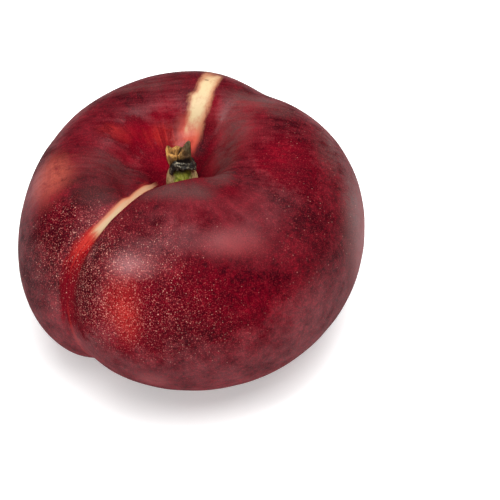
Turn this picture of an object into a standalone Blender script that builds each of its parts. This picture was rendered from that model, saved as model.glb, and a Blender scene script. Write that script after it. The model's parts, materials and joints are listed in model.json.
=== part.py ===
"""A whole flat peach as picked, standing on its base.

The fruit is one solid, a squat ring-shaped body with a deep stem cavity and a suture that splits it
into two uneven lobes. A short stem stands in the cavity. Its foot is the green stalk, its top the
torn end of the twig, and a ring of dry bud scales sits round it just under the torn end.

Sizes are in metres and angles in degrees. Azimuth 0 is +X and azimuth 90 is +Y. Each piece is shaped
about the stem's axis, and an empty then brings the whole peach onto the origin, with its base at z = 0.
"""

import math

import bmesh
import bpy
from mathutils import Vector

MM = 0.001

# Fruit: half section through the stem axis
BELLY_RADIUS = 36.35 * MM
HEIGHT = 44.0 * MM
BELLY_HEIGHT = 21.1 * MM
SHOULDER_FULLNESS = 2.32  # exponents of the two quarter superellipses, where 2 is an ellipse
BELLY_FULLNESS = 2.0
BASE_RING_RADIUS = 17.0 * MM
BASE_PIT_DEPTH = 5.0 * MM
CAVITY_DEPTH = 11.5 * MM
CAVITY_FLOOR_RADIUS = 3.3 * MM
CAVITY_WALL_POWER = 1.3  # 1 is a funnel that ends in a corner, and 2 a bowl that ends level
CREST_NEAR = 7.8 * MM  # from the stem's axis to the shoulder's crest, on the cavity's steep side
CREST_FAR = 22.0 * MM  # and on its open side
CREST_OPEN_SIDE = 118.0
CREST_SWELL = 0.77  # under 1 the cavity keeps its far crest over most of its round
REST_PRESS = 0.24 * MM  # how far the base is pressed flat where it stands

# Fruit: plan outline, as (waves round the fruit, share of the radius, azimuth of a wave's top)
PLAN_WAVES = ((2, 0.028, 31.0), (3, 0.012, 12.0), (4, 0.012, 37.0))
PLAN_SHIFT = Vector((2.0, -2.7, 0.0)) * MM  # from the stem's axis to the middle of the belly
# Fruit: height of the shoulder, as (waves round the fruit, height, azimuth of a wave's top)
SHOULDER_WAVES = ((1, 0.5 * MM, -69.0), (2, 1.7 * MM, 64.0))

# Suture: the two grooves, from the base up to the cavity. A groove's bow is how far its middle height
# stands off the straight line between its ends, its opening is how much it widens outward, and its
# crease is how blunt its bottom is, as a share of the radius. Its lean narrows one flank and widens
# the other, and its step sets the lobe on one side above the lobe on the other.
FRONT = {
    "azimuth_low": -128.3,
    "azimuth_high": -139.2,
    "bow": -1.1,
    "depth_high": 6.0 * MM,
    "depth_low": 2.3 * MM,
    "width": 5.4 * MM,
    "opening": 0.0,
    "crease": 0.05,
    "lean_high": 2.5,
    "lean_low": 0.6,
    "step": -0.4 * MM,
}
BACK = {
    "azimuth_low": 46.5,
    "azimuth_high": 60.0,
    "bow": 0.0,
    "depth_high": 2.8 * MM,
    "depth_low": 0.0 * MM,
    "width": 6.1 * MM,
    "opening": 0.5,
    "crease": 0.10,
    "lean_high": 1.0,
    "lean_low": 1.0,
    "step": 0.6 * MM,
}
FLESH_MIDDLE = Vector((13.4, 29.7)) * MM  # the point of the half section that the grooves are cut toward
WIDTH_RADIUS = 20.0 * MM  # where a groove has its stated width
CREASE_RADIUS = 0.2 * MM  # at the stem
GROOVE_START_RADIUS = 7.4 * MM
GROOVE_FULL_RADIUS = 12.9 * MM
STEP_FULL_RADIUS = 14.0 * MM
STEP_FULL_HEIGHT = 0.2  # share of the height over which the step rises from the level base
STEP_SPREAD = 22.0

# Fruit: mesh, as rings from the cavity's floor to the base scar and columns in each lobe
CAVITY_RINGS = 9
SHOULDER_RINGS = 12
BELLY_RINGS = 11
BASE_RINGS = 6
RIGHT_COLUMNS = 50
LEFT_COLUMNS = 42
COLUMN_CROWDING = 0.6  # 0 spaces the columns evenly, and nearly 1 crowds them at the grooves

# Stem: outline as (height over the foot, radius), from the green foot through the neck to the torn end
STEM_OUTLINE = (
    (0.0 * MM, 2.40 * MM),
    (0.9 * MM, 2.80 * MM),
    (3.4 * MM, 2.90 * MM),
    (5.6 * MM, 2.50 * MM),
    (6.6 * MM, 2.00 * MM),
    (8.7 * MM, 2.00 * MM),
    (9.4 * MM, 2.60 * MM),
    (10.3 * MM, 2.85 * MM),
)
STEM_RINGS = 19
STEM_COLUMNS = 30
STEM_CAP_RINGS = 5
STEM_FOOT = Vector((0.4, 0.0, 0.0)) * MM
STEM_LEAN = Vector((-0.7, 0.2, 0.0)) * MM  # how far the torn end stands off the foot
STEM_GAP = 0.3 * MM
TORN_START = 8.8 * MM  # height over the foot where the tear begins to shape the twig
TORN_SLOPE = 1.0 * MM  # how far the back of the torn end stands over its middle
# Splinters and gaps in the torn rim, as (azimuth, spread, height)
TORN_RIM = (
    (58.0, 15.0, 1.3 * MM),
    (92.0, 12.0, -0.8 * MM),
    (128.0, 22.0, 0.5 * MM),
    (-160.0, 20.0, 0.5 * MM),
    (-95.0, 16.0, -0.7 * MM),
    (-30.0, 20.0, 0.4 * MM),
)
TORN_RIDGES = 5
TORN_RIDGE_HEIGHT = 0.22 * MM
TORN_SQUARENESS = 0.10  # 0 is a round twig

# Bud scales: a ring of dry scales round the stem's neck
SCALE_COUNT = 7
SCALE_RING_HEIGHT = 7.7 * MM  # over the stem's foot
SCALE_RING_INNER = 2.36 * MM
SCALE_RING_OUTER = 2.85 * MM
SCALE_RING_THICKNESS = 1.5 * MM
SCALE_TIP_REACH = 0.55 * MM
SCALE_TIP_BLUNTNESS = 0.7  # over 1 draws the tips out to points
SCALE_TIP_VARIETY = 0.5  # how much shorter the shortest tip is
SCALE_TIP_WAVES = 2.3  # waves of long and short tips round the ring
SCALE_OUTER_THINNING = 0.4
SCALE_TIP_BEND = 0.5 * MM  # the most that a tip is turned up or down
SCALE_BEND_WAVES = 1.5
SCALE_BEND_TURN = 40.0
SCALE_COLUMNS = 56
SCALE_SECTION = 10


def eased(share):
    """0 to 1 with level ends, for a share that is held between 0 and 1."""
    share = min(max(share, 0.0), 1.0)
    return share * share * (3 - 2 * share)


def turn_between(azimuth, other):
    """Signed turn from the other azimuth to this one, from -180 to 180 degrees."""
    return (azimuth - other + 180.0) % 360.0 - 180.0


def bump(azimuth, centre, spread):
    """A bell of height 1 round an azimuth."""
    return math.exp(-((turn_between(azimuth, centre) / spread) ** 2))


def between(points, height):
    """Radius at a height on an outline of (height, radius) points, with eased spans."""
    for (low, start), (high, end) in zip(points, points[1:]):
        if height <= high:
            return start + (end - start) * eased((height - low) / (high - low))
    return points[-1][1]


def crest_radius(azimuth):
    """Radius of the shoulder's crest round the stem cavity."""
    openness = 0.5 + 0.5 * math.cos(math.radians(azimuth - CREST_OPEN_SIDE))
    return CREST_NEAR + (CREST_FAR - CREST_NEAR) * openness**CREST_SWELL


def section_point(station, azimuth):
    """Radius and height on the half section. The station counts rings from the cavity's floor."""
    crest = crest_radius(azimuth)
    if station < CAVITY_RINGS:
        radius = crest * station / CAVITY_RINGS
        wall = (radius - CAVITY_FLOOR_RADIUS) / (crest - CAVITY_FLOOR_RADIUS)
        climb = math.sin(0.5 * math.pi * max(wall, 0.0)) ** CAVITY_WALL_POWER
        return radius, HEIGHT - CAVITY_DEPTH * (1 - climb)
    station -= CAVITY_RINGS
    if station < SHOULDER_RINGS:
        turn = 0.5 * math.pi * (1 - station / SHOULDER_RINGS)
        power = 2 / SHOULDER_FULLNESS
        radius = crest + (BELLY_RADIUS - crest) * math.cos(turn) ** power
        return radius, BELLY_HEIGHT + (HEIGHT - BELLY_HEIGHT) * math.sin(turn) ** power
    station -= SHOULDER_RINGS
    if station < BELLY_RINGS:
        turn = 0.5 * math.pi * station / BELLY_RINGS
        power = 2 / BELLY_FULLNESS
        radius = BASE_RING_RADIUS + (BELLY_RADIUS - BASE_RING_RADIUS) * math.cos(turn) ** power
        return radius, BELLY_HEIGHT * (1 - math.sin(turn) ** power)
    share = max(1 - (station - BELLY_RINGS) / BASE_RINGS, 0.0)
    return BASE_RING_RADIUS * share, BASE_PIT_DEPTH * math.cos(0.5 * math.pi * share) ** 2


def groove_azimuth(groove, height_share):
    """Where a groove's crease is at a height, because the suture isn't quite upright."""
    straight = groove["azimuth_low"] + (groove["azimuth_high"] - groove["azimuth_low"]) * height_share
    return straight + groove["bow"] * 4 * height_share * (1 - height_share)


def groove_move(groove, azimuth, radius, height_share):
    """How far the skin is moved out at a point by one groove and by the step between its lobes."""
    turn = turn_between(azimuth, groove_azimuth(groove, height_share))
    aside = radius * math.radians(turn)
    lean = groove["lean_low"] + (groove["lean_high"] - groove["lean_low"]) * height_share**2
    aside *= lean if aside > 0 else 1 / lean
    blunt = CREASE_RADIUS + groove["crease"] * radius
    away = math.sqrt(aside * aside + blunt**2) - blunt
    width = groove["width"] * (1 + groove["opening"] * (radius / WIDTH_RADIUS - 1))
    depth = groove["depth_low"] + (groove["depth_high"] - groove["depth_low"]) * height_share
    opening = eased((radius - GROOVE_START_RADIUS) / (GROOVE_FULL_RADIUS - GROOVE_START_RADIUS))
    cut = depth * opening * math.exp(-away / width)
    side = turn / STEP_SPREAD
    step = groove["step"] * side * math.exp(0.5 - 0.5 * side * side)
    step *= eased(radius / STEP_FULL_RADIUS) * eased(height_share / STEP_FULL_HEIGHT)
    return step - cut


def wave_sum(waves, azimuth):
    """Sum of the waves round the fruit at an azimuth."""
    return sum(size * math.cos(math.radians(count * (azimuth - top))) for count, size, top in waves)


def column_azimuth(column, height_share):
    """Azimuth of a column, which follows the grooves and stands closer to the others near them."""
    front = groove_azimuth(FRONT, height_share)
    back = groove_azimuth(BACK, height_share)
    if column < RIGHT_COLUMNS:
        share, start, span = column / RIGHT_COLUMNS, front, back - front
    else:
        share, start, span = (column - RIGHT_COLUMNS) / LEFT_COLUMNS, back, front + 360.0 - back
    share -= COLUMN_CROWDING * math.sin(2 * math.pi * share) / (2 * math.pi)
    return start + span * share


def fruit_point(column, ring):
    """A point of the skin, about the stem's axis."""
    mean_height = section_point(ring, CREST_OPEN_SIDE + 90.0)[1]
    height_share = min(mean_height / HEIGHT, 1.0)
    azimuth = column_azimuth(column, height_share)
    radius, height = section_point(ring, azimuth)
    out, up = (Vector((radius, height)) - FLESH_MIDDLE).normalized()
    move = sum(groove_move(groove, azimuth, radius, height_share) for groove in (FRONT, BACK))
    outer = eased(radius / BELLY_RADIUS)
    on_top = height_share**2 * eased(radius / crest_radius(azimuth))
    direction = Vector((math.cos(math.radians(azimuth)), math.sin(math.radians(azimuth)), 0.0))
    spread = radius * (1 + outer * wave_sum(PLAN_WAVES, azimuth)) + out * move
    point = direction * spread + PLAN_SHIFT * outer
    point.z = height + on_top * wave_sum(SHOULDER_WAVES, azimuth) + up * move
    return point


def make_object(name, mesh_data, parent, material):
    """An object from a bmesh, hung on the parent and shaded smooth."""
    mesh = bpy.data.meshes.new(name)
    mesh_data.to_mesh(mesh)
    mesh_data.free()
    mesh.shade_smooth()
    mesh.materials.append(material)
    obj = bpy.data.objects.new(name, mesh)
    bpy.context.scene.collection.objects.link(obj)
    obj.parent = parent
    return obj


def make_material(name, colour, roughness):
    """A plain finish in one colour."""
    material = bpy.data.materials.new(name)
    material.use_nodes = True
    shader = material.node_tree.nodes["Principled BSDF"]
    shader.inputs["Base Color"].default_value = (*colour, 1.0)
    shader.inputs["Roughness"].default_value = roughness
    shader.inputs["Metallic"].default_value = 0.0
    return material


def shape_sphere(columns, rings, place):
    """A ball of rings and columns whose every vertex goes where place(column, ring) says."""
    ball = bmesh.new()
    bmesh.ops.create_uvsphere(ball, u_segments=columns, v_segments=rings, radius=1.0)
    for vertex in ball.verts:
        ring = round(math.acos(max(-1.0, min(1.0, vertex.co.z))) / math.pi * rings)
        turn = math.atan2(vertex.co.y, vertex.co.x) / (2 * math.pi)
        vertex.co = place(round(turn * columns) % columns, ring)
    return ball


def make_fruit(parent, material):
    """Make the fruit, and return the point on its level base under the middle of its plan."""
    rings = CAVITY_RINGS + SHOULDER_RINGS + BELLY_RINGS + BASE_RINGS
    body = shape_sphere(RIGHT_COLUMNS + LEFT_COLUMNS, rings, fruit_point)
    rest = min(vertex.co.z for vertex in body.verts) + REST_PRESS
    for vertex in body.verts:
        vertex.co.z = max(vertex.co.z, rest)
    xs = [vertex.co.x for vertex in body.verts]
    ys = [vertex.co.y for vertex in body.verts]
    foot = Vector(((min(xs) + max(xs)) / 2, (min(ys) + max(ys)) / 2, rest))
    make_object("fruit", body, parent, material)
    return foot


def torn_height(point, azimuth, share):
    """How far the torn end stands over the end of the stem's outline, at a share of its radius."""
    across = point / STEM_OUTLINE[-1][1]
    splinters = sum(height * bump(azimuth, centre, spread) for centre, spread, height in TORN_RIM)
    ridges = TORN_RIDGE_HEIGHT * math.cos(TORN_RIDGES * math.pi * across.x)
    return TORN_SLOPE * across.y + splinters * share**2 + ridges * eased(2 * share)


def stem_point(column, ring):
    """A point of the stem over its foot. The first rings cross the torn end, the last is the foot."""
    azimuth = column * 360.0 / STEM_COLUMNS
    top = STEM_OUTLINE[-1][0]
    share = min(ring / STEM_CAP_RINGS, 1.0)
    height = top * min(1 - (ring - STEM_CAP_RINGS) / (STEM_RINGS - 1 - STEM_CAP_RINGS), 1.0)
    if ring == STEM_RINGS:
        share = 0.0
        height = 0.0
    torn = eased((height - TORN_START) / (top - TORN_START))
    squared = 1 + TORN_SQUARENESS * torn * math.cos(math.radians(4 * azimuth - 180.0))
    direction = Vector((math.cos(math.radians(azimuth)), math.sin(math.radians(azimuth)), 0.0))
    point = direction * between(STEM_OUTLINE, height) * share * squared
    point.z = height + torn * torn_height(point, azimuth, share)
    return point + STEM_LEAN * (height / top) ** 2


def make_stem(parent, material, foot_height):
    """The stem, standing clear of the cavity's floor by a hair."""
    stem = make_object("stem", shape_sphere(STEM_COLUMNS, STEM_RINGS, stem_point), parent, material)
    stem.location = STEM_FOOT + Vector((0.0, 0.0, foot_height))


def scale_ring_point(column, corner):
    """A point of the ring of bud scales. Its section is an oval that is drawn out into the scales' tips."""
    azimuth = column * 360.0 / SCALE_COLUMNS
    turn = corner * 2 * math.pi / SCALE_SECTION
    tip = abs(math.sin(math.radians(0.5 * SCALE_COUNT * azimuth))) ** SCALE_TIP_BLUNTNESS
    shortness = SCALE_TIP_VARIETY * (0.5 - 0.5 * math.cos(math.radians(SCALE_TIP_WAVES * azimuth)))
    outer = SCALE_RING_OUTER + SCALE_TIP_REACH * tip * (1 - shortness)
    middle = (SCALE_RING_INNER + outer) / 2
    half = (outer - SCALE_RING_INNER) / 2
    radius = middle + half * math.cos(turn)
    out_share = (radius - SCALE_RING_INNER) / (outer - SCALE_RING_INNER)
    height = 0.5 * SCALE_RING_THICKNESS * math.sin(turn) * (1 - SCALE_OUTER_THINNING * out_share)
    bend = math.sin(math.radians(SCALE_BEND_WAVES * azimuth + SCALE_BEND_TURN))
    height += SCALE_TIP_BEND * tip * out_share**2 * bend
    direction = Vector((math.cos(math.radians(azimuth)), math.sin(math.radians(azimuth)), 0.0))
    return direction * radius + Vector((0.0, 0.0, height))


def make_bud_scales(parent, material, foot_height):
    """The ring of dry bud scales round the stem's neck."""
    ring = bmesh.new()
    loops = []
    for column in range(SCALE_COLUMNS):
        loops.append([ring.verts.new(scale_ring_point(column, corner)) for corner in range(SCALE_SECTION)])
    for loop, following in zip(loops, loops[1:] + loops[:1]):
        for corner in range(SCALE_SECTION):
            after = (corner + 1) % SCALE_SECTION
            ring.faces.new((loop[corner], following[corner], following[after], loop[after]))
    bmesh.ops.recalc_face_normals(ring, faces=ring.faces)
    scales = make_object("bud_scales", ring, parent, material)
    lift = SCALE_RING_HEIGHT / STEM_OUTLINE[-1][0]
    scales.location = STEM_FOOT + STEM_LEAN * lift**2 + Vector((0.0, 0.0, foot_height + SCALE_RING_HEIGHT))


def main():
    """Build the peach in an emptied scene."""
    for obj in list(bpy.data.objects):
        bpy.data.objects.remove(obj)
    peach = bpy.data.objects.new("peach", None)
    bpy.context.scene.collection.objects.link(peach)
    skin = make_material("skin", (0.22, 0.012, 0.022), 0.45)
    wood = make_material("stem", (0.32, 0.24, 0.11), 0.8)
    dry = make_material("bud_scales", (0.035, 0.027, 0.02), 0.7)
    foot = make_fruit(peach, skin)
    peach.location = -foot
    stem_foot = HEIGHT - CAVITY_DEPTH + STEM_GAP
    make_stem(peach, wood, stem_foot)
    make_bud_scales(peach, dry, stem_foot)


main()
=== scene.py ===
import json
import math

import bpy
import numpy as np
from mathutils import Matrix, Vector, noise

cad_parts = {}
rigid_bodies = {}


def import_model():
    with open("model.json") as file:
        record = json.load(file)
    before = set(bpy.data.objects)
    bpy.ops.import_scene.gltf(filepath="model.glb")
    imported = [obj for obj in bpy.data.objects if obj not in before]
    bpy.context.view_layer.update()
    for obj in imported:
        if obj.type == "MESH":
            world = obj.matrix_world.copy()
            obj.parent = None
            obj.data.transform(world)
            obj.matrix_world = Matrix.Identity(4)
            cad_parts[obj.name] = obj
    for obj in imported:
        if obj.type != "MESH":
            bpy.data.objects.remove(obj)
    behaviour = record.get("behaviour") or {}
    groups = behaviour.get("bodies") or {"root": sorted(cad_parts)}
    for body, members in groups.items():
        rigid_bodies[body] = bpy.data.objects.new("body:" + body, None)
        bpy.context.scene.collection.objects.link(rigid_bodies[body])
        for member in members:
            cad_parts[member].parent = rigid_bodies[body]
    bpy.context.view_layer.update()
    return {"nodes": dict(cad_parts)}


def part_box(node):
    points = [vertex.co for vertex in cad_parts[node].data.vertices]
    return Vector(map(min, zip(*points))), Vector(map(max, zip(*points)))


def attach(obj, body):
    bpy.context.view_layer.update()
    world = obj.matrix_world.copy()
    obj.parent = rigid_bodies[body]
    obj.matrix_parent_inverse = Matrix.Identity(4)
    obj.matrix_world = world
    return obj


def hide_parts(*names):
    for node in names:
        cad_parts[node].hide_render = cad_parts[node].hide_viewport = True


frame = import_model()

bl_info = {
    "name": "Flat peach",
    "version": (1, 0, 0),
    "blender": (4, 5, 0),
    "location": "3D View > Sidebar > Peach",
    "description": "Models and paints a whole flat peach over its packed solids",
    "category": "Object",
}

MM = 0.001
STEM_AXIS = (-2.22, 2.75)  # mm on plan, where the stem stands in its cavity
BLOSSOM_END = (-2.22, 2.75, 4.76)  # mm, the middle of the dimple in the base

# Middle lines of the two seam markings on the skin, in mm, from the stem to the base.
FRONT_SEAM = (
    (-4.6, 5.2, 32.5), (-6.6, 4.4, 33.0), (-8.0, 1.9, 34.8), (-9.5, -2.5, 38.2), (-10.95, -4.5, 38.8),
    (-12.2, -6.3, 38.8), (-13.4, -8.0, 39.2), (-15.3, -10.9, 39.3), (-17.3, -13.4, 38.8),
    (-18.3, -14.4, 38.4), (-19.6, -15.6, 37.7), (-20.8, -16.6, 36.8), (-22.0, -17.6, 35.7),
    (-23.5, -19.6, 33.0), (-24.1, -20.9, 30.8), (-24.6, -22.0, 28.0), (-24.7, -22.9, 25.4),
    (-24.4, -23.8, 22.4), (-23.9, -24.4, 19.3), (-23.2, -24.6, 16.0), (-21.6, -24.05, 11.7),
    (-19.1, -22.0, 7.2), (-16.2, -18.6, 3.9), (-13.3, -14.2, 2.2), (-9.0, -6.9, 2.9), (-4.0, 0.5, 4.4),
)
BACK_SEAM = (
    (-1.6, 7.6, 33.4), (-0.4, 10.5, 36.5), (0.2, 12.1, 37.8), (0.8, 14.6, 39.8), (1.5, 16.5, 41.7),
    (2.3, 18.5, 43.3), (3.3, 21.3, 44.0), (4.3, 25.1, 43.5), (5.5, 28.6, 41.3), (6.6, 31.5, 37.8),
    (7.5, 33.4, 33.0), (8.1, 34.3, 27.0), (8.2, 34.3, 21.0), (7.7, 32.6, 14.0), (6.5, 29.0, 7.5),
    (4.4, 23.2, 2.6), (1.8, 15.4, 0.6), (-0.6, 7.6, 3.2),
)


def srgb(red, green, blue):
    """A colour given as on a screen, from 0 to 255, as the light that it stands for."""
    parts = []
    for part in (red, green, blue):
        share = part / 255
        parts.append(share / 12.92 if share <= 0.04045 else ((share + 0.055) / 1.055) ** 2.4)
    return tuple(parts)


# Sizes and colours that a user may change


def colour_prop(name, description, default):
    return bpy.props.FloatVectorProperty(
        name=name, description=description, default=default, subtype="COLOR", size=3, min=0.0, max=1.0)


def length_prop(name, description, default):
    return bpy.props.FloatProperty(
        name=name, description=description, default=default, unit="LENGTH", precision=5, min=0.0)


def share_prop(name, description, default):
    return bpy.props.FloatProperty(
        name=name, description=description, default=default, subtype="FACTOR", min=0.0, max=1.0)


class PeachSkin(bpy.types.PropertyGroup):
    """Looks of the skin."""
    # Maroon is also the colour of the painted shade in the dark areas.
    dark: colour_prop("Maroon", "Darkest patches of the skin", srgb(48, 2, 10))
    middle: colour_prop("Burgundy", "Common colour of the skin", srgb(83, 2, 16))
    bright: colour_prop("Crimson", "Bright patches of the skin", srgb(118, 2, 23))
    # Pale bloom, and painted highlights on the near lobe's top
    bloom_and_highlight: colour_prop("Bloom", "Paler dull patches of the skin", srgb(142, 40, 45))
    blush: colour_prop("Orange red", "Where the skin is thin in red", srgb(162, 36, 33))
    scarlet: colour_prop("Scarlet", "Upper part of the seam's red band", srgb(158, 10, 14))
    deep: colour_prop("Deep red", "Lower part of the seam's red band", srgb(106, 4, 18))
    flame: colour_prop("Flame", "Bright streaks of the red band", srgb(184, 56, 46))
    ground: colour_prop("Cream", "Pale ground colour along the seam", srgb(198, 174, 134))
    line: colour_prop("Seam line", "Pale line along the front seam", srgb(174, 153, 122))
    halo: colour_prop("Salmon", "Soft salmon beside the seam", srgb(180, 66, 54))
    foot: colour_prop("Foot", "Bright foot of the back marking", srgb(200, 84, 64))
    tan: colour_prop("Tan", "Dull edge of the cream markings", srgb(182, 124, 92))
    pink: colour_prop("Pink", "Finest grain of the skin", srgb(172, 50, 56))
    dots: colour_prop("Dots", "Fine pale dots", srgb(224, 158, 142))
    salmon: colour_prop("Salmon cheek", "Paler cheek of the skin", srgb(166, 78, 62))
    frost: colour_prop("Frost", "Dull waxy patches of the skin", srgb(78, 45, 45))
    # Painted shade on the groove's flank beside the stem's cavity
    seam_shade: colour_prop("Dusk", "Dull dark patch beside the seam", srgb(60, 22, 24))
    scar: colour_prop("Scar", "Dry scar at the blossom end, and a fleck", srgb(92, 66, 44))
    roughness: share_prop("Roughness", "Roughness of the skin", 0.34)
    relief: length_prop("Relief", "Height of the skin's slow unevenness", 0.10 * MM)
    levels: bpy.props.IntProperty(
        name="Levels", description="Subdivision of the skin's mesh", default=2, min=0, max=3)


class PeachStem(bpy.types.PropertyGroup):
    """Looks of the stem."""
    green: colour_prop("Green", "Fresh green of the stem's foot", srgb(196, 206, 80))
    leaf: colour_prop("Leaf green", "Darker green of the foot", srgb(120, 136, 34))
    olive: colour_prop("Olive", "Green towards the foot's sides", srgb(74, 78, 24))
    beige: colour_prop("Beige", "Dull sides of the foot", srgb(196, 162, 116))
    furrow: colour_prop("Furrow", "Fine furrows of the foot", srgb(70, 66, 24))
    ridge: colour_prop("Ridge", "Fine pale ridges of the foot", srgb(232, 226, 170))
    # Near-black painted shade on the neck, under the overhang of the torn wood
    shaded_neck: colour_prop("Neck", "Dark neck over the foot", srgb(34, 22, 14))
    wood: colour_prop("Wood", "Torn wood", srgb(164, 114, 56))
    brown: colour_prop("Brown", "Darker fibres of the torn wood", srgb(94, 60, 28))
    fresh: colour_prop("Fresh wood", "Palest fibres of the torn wood", srgb(208, 160, 88))
    grey: colour_prop("Grey", "Dull tall prong", srgb(84, 76, 50))
    # Near-black painted shade in the recess where the stem broke away in front
    break_shade: colour_prop("Hollow", "Where the stem broke away in front", srgb(26, 14, 10))
    weathered: colour_prop("Weathered", "Dull side of the torn wood", srgb(68, 46, 26))
    # Dark bark fibres, and painted shade in the cracks of the torn end
    bark_and_crack_shade: colour_prop("Bark", "Cracks of the torn wood", srgb(50, 32, 16))
    fibre: length_prop("Fibre", "Height of the torn end's fibres", 0.16 * MM)


class PeachScales(bpy.types.PropertyGroup):
    """Looks of the dry bud scales."""
    black: colour_prop("Black", "Darkest parts of the scales", srgb(16, 12, 9))
    dry: colour_prop("Dry", "Colour of the dry scales", srgb(58, 52, 42))
    # Paler patches, partly worn edges and partly painted highlights
    edge: colour_prop("Edge", "Paler worn edges of the scales", srgb(150, 140, 118))
    thickness: length_prop("Thickness", "Thickness of a scale", 0.28 * MM)


class PeachStage(bpy.types.PropertyGroup):
    """Camera, floor and lights."""
    floor: colour_prop("Floor", "Colour of the floor", (0.93, 0.93, 0.93))
    lift: share_prop("Lift", "How strongly the floor glows, which lightens its shadow", 0.3)
    distance: length_prop("Distance", "From the camera to the point that it looks at", 0.5)
    elevation: bpy.props.FloatProperty(
        name="Elevation", description="Height of the camera over the level", default=math.radians(48.0),
        subtype="ANGLE")


# Mesh helpers


def deselect():
    bpy.ops.object.select_all(action="DESELECT")


def make_active(piece):
    deselect()
    piece.select_set(True)
    bpy.context.view_layer.objects.active = piece


def copy_node(node, name):
    """A copy of a CAD node with its loose triangles merged into one surface of quads."""
    source = frame["nodes"][node]
    piece = source.copy()
    piece.data = source.data.copy()
    piece.name = name
    piece.data.name = name
    piece.data.materials.clear()
    bpy.context.scene.collection.objects.link(piece)
    piece.parent = None
    piece.matrix_world = Matrix.Identity(4)
    make_active(piece)
    bpy.ops.object.mode_set(mode="EDIT")
    bpy.ops.mesh.select_all(action="SELECT")
    bpy.ops.mesh.remove_doubles(threshold=0.000001)
    bpy.ops.mesh.tris_convert_to_quads(face_threshold=math.pi, shape_threshold=math.pi)
    bpy.ops.object.mode_set(mode="OBJECT")
    return piece


def subdivide(piece, levels):
    """Subdivision Surface, applied."""
    make_active(piece)
    modifier = piece.modifiers.new("smooth", "SUBSURF")
    modifier.levels = levels
    modifier.render_levels = levels
    bpy.ops.object.modifier_apply(modifier=modifier.name)
    bpy.ops.object.shade_smooth()


def read_points(mesh):
    flat = np.empty(len(mesh.vertices) * 3)
    mesh.vertices.foreach_get("co", flat)
    return flat.reshape(-1, 3)


def read_normals(mesh):
    flat = np.empty(len(mesh.vertices) * 3)
    mesh.vertices.foreach_get("normal", flat)
    return flat.reshape(-1, 3)


def write_points(mesh, points):
    mesh.vertices.foreach_set("co", points.ravel())
    mesh.update()


def smooth_line(points, steps=12):
    """A smooth curve through points, as a number of short straight steps from each to the next."""
    points = np.array(points)
    ends = np.vstack([2 * points[0] - points[1], points, 2 * points[-1] - points[-2]])
    line = []
    for a, b, c, d in zip(ends, ends[1:], ends[2:], ends[3:]):
        for share in np.arange(steps) / steps:
            line.append(0.5 * (2 * b + (c - a) * share + (2 * a - 5 * b + 4 * c - d) * share**2
                               + (3 * b - a - 3 * c + d) * share**3))
    line.append(points[-1])
    return np.array(line)


CHUNK = 4000  # vertices that are compared with a line at once


def lay_line(piece, name, points):
    """Keep on each vertex how far it is across a line on the skin, along it and from it, in mm."""
    line = [piece.closest_point_on_mesh(Vector(point) * MM)[1] for point in smooth_line(points)]
    line = np.array(line) / MM
    run = np.concatenate([[0.0], np.cumsum(np.linalg.norm(np.diff(line, axis=0), axis=1))])
    ahead = np.gradient(line, axis=0)
    ahead /= np.linalg.norm(ahead, axis=1)[:, None]
    where = read_points(piece.data) / MM
    outward = read_normals(piece.data)
    across = np.empty(len(where))
    along = np.empty(len(where))
    for start in range(0, len(where), CHUNK):
        part = slice(start, start + CHUNK)
        gap = where[part, None, :] - line[None, :, :]
        nearest = np.argmin((gap**2).sum(axis=2), axis=1)
        rows = np.arange(len(nearest))
        off = gap[rows, nearest]
        forward = (off * ahead[nearest]).sum(axis=1)
        beside = off - forward[:, None] * ahead[nearest]
        side = np.sign((off * np.cross(ahead[nearest], outward[part])).sum(axis=1))
        across[part] = np.linalg.norm(beside, axis=1) * side
        along[part] = run[nearest] + forward
    values = np.stack([across, along, abs(across)], axis=1)
    piece.data.attributes.new(name, "FLOAT_VECTOR", "POINT").data.foreach_set("vector", values.ravel())


# Shader helpers


SEAM_REACH = (9.0, 12.0)  # mm from a seam's line, where its marking fades out at the latest
FAR_ALONG = 1000.0  # mm along a seam, where it has no marking


class Wire:
    """A socket in a material's nodes that takes part in ordinary expressions."""

    def __init__(self, board, socket):
        self.board = board
        self.socket = socket

    def other(self, output):
        """Another output of the same node."""
        return Wire(self.board, self.socket.node.outputs[output])

    def _math(self, operation, *values):
        return self.board.add("ShaderNodeMath", {"operation": operation}, dict(enumerate(values)))

    def __add__(self, other):
        return self._math("ADD", self, other)

    __radd__ = __add__

    def __sub__(self, other):
        return self._math("SUBTRACT", self, other)

    def __rsub__(self, other):
        return self._math("SUBTRACT", other, self)

    def __mul__(self, other):
        return self._math("MULTIPLY", self, other)

    __rmul__ = __mul__

    def __truediv__(self, other):
        return self._math("DIVIDE", self, other)

    def __abs__(self):
        return self._math("ABSOLUTE", self)

    def least(self, other):
        return self._math("MINIMUM", self, other)

    def most(self, other):
        return self._math("MAXIMUM", self, other)


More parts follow.
